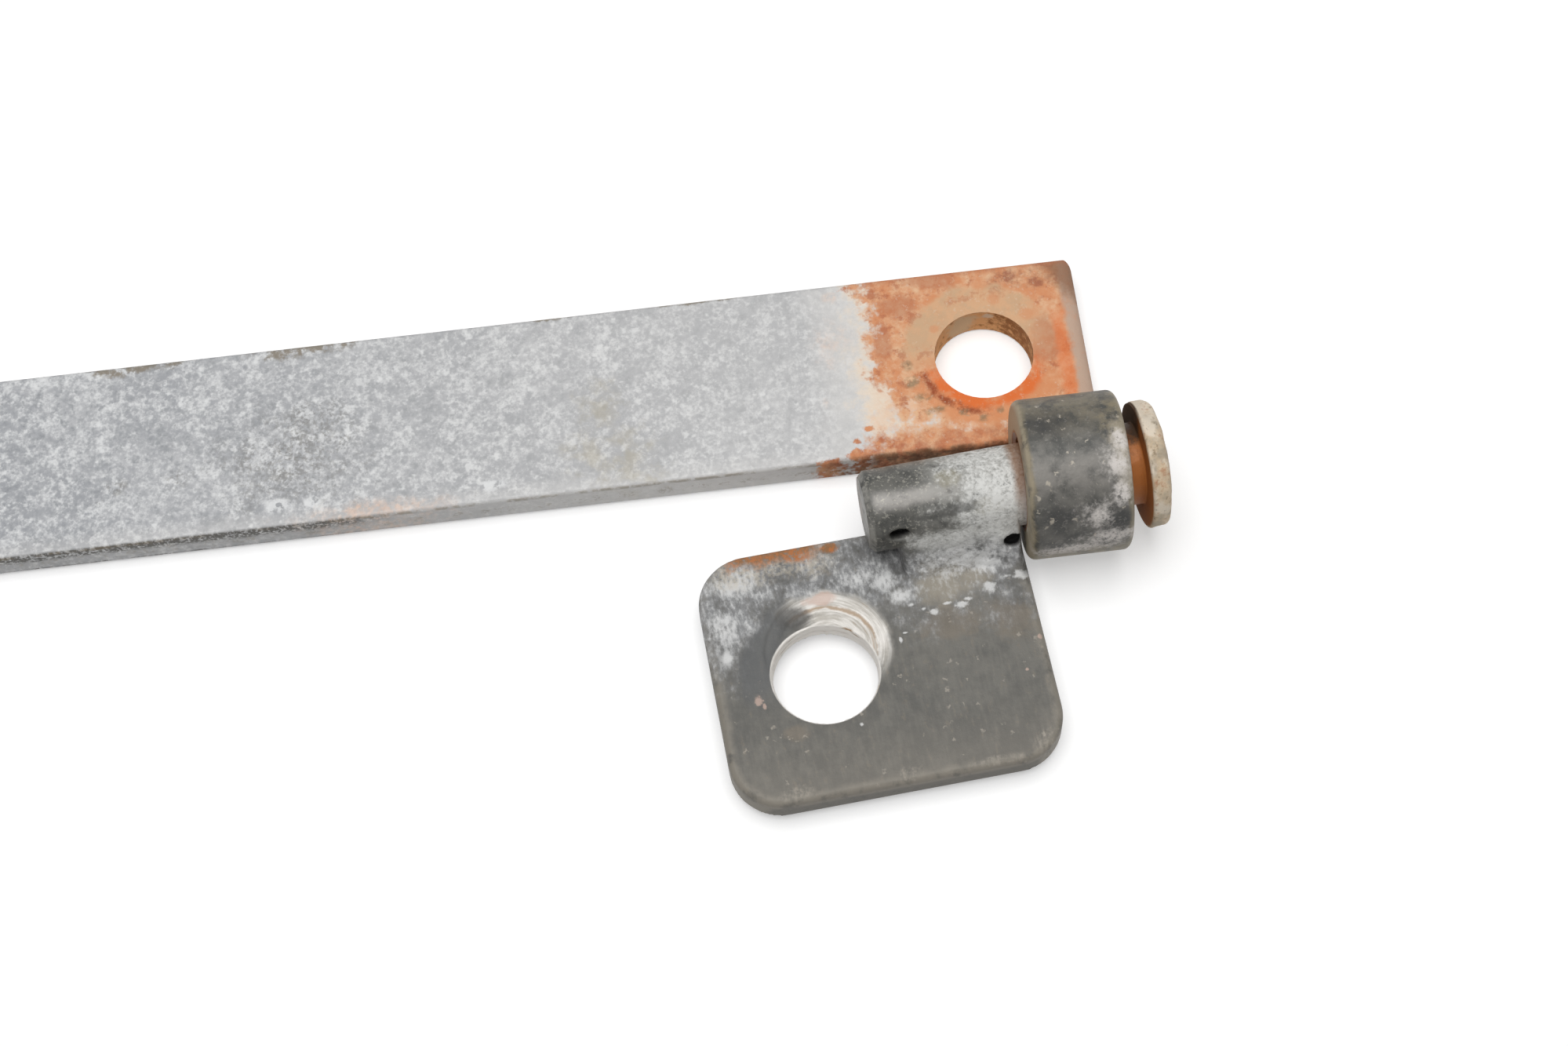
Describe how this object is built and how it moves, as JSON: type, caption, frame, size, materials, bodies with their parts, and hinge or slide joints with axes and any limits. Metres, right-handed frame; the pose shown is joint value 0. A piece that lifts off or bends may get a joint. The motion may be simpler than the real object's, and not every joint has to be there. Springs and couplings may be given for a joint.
{
  "type": "hood hinge",
  "caption": "Worn hood hinge: a flat steel strap with a welded collar, and a bolt-on leaf whose headed pin turns in that collar.",
  "frame": {"origin": "centre of the strap's bolt hole beside the collar, on the strap's back face", "axes": "+X along the strap towards the pin's head, +Z out of the strap's front face, +Y across the strap away from the leaf"},
  "size_m": [0.1437, 0.0521, 0.0145],
  "materials": {
    "zinc_strap": "dull zinc plate, rusted at the collar end",
    "dark_collar": "dark grey, worn to rust at the rims",
    "worn_pin": "grey with white corrosion, rusty head",
    "leaf_plate": "dull grey plate with white bloom",
    "weld_metal": "rough weld bead"
  },
  "bodies": {
    "strap": {"strap": "zinc_strap", "collar": "dark_collar", "collar_weld": "weld_metal"},
    "leaf": {"leaf": "leaf_plate", "pin": "worn_pin", "leaf_weld": "weld_metal"}
  },
  "joints": [
    {"name": "leaf_swing", "type": "hinge", "parent": "strap", "child": "leaf", "pos_m": [0.00543, -0.01569, 0.00725], "axis": [0.9974, 0.0715, 0], "range_deg": [-180, 90]}
  ]
}
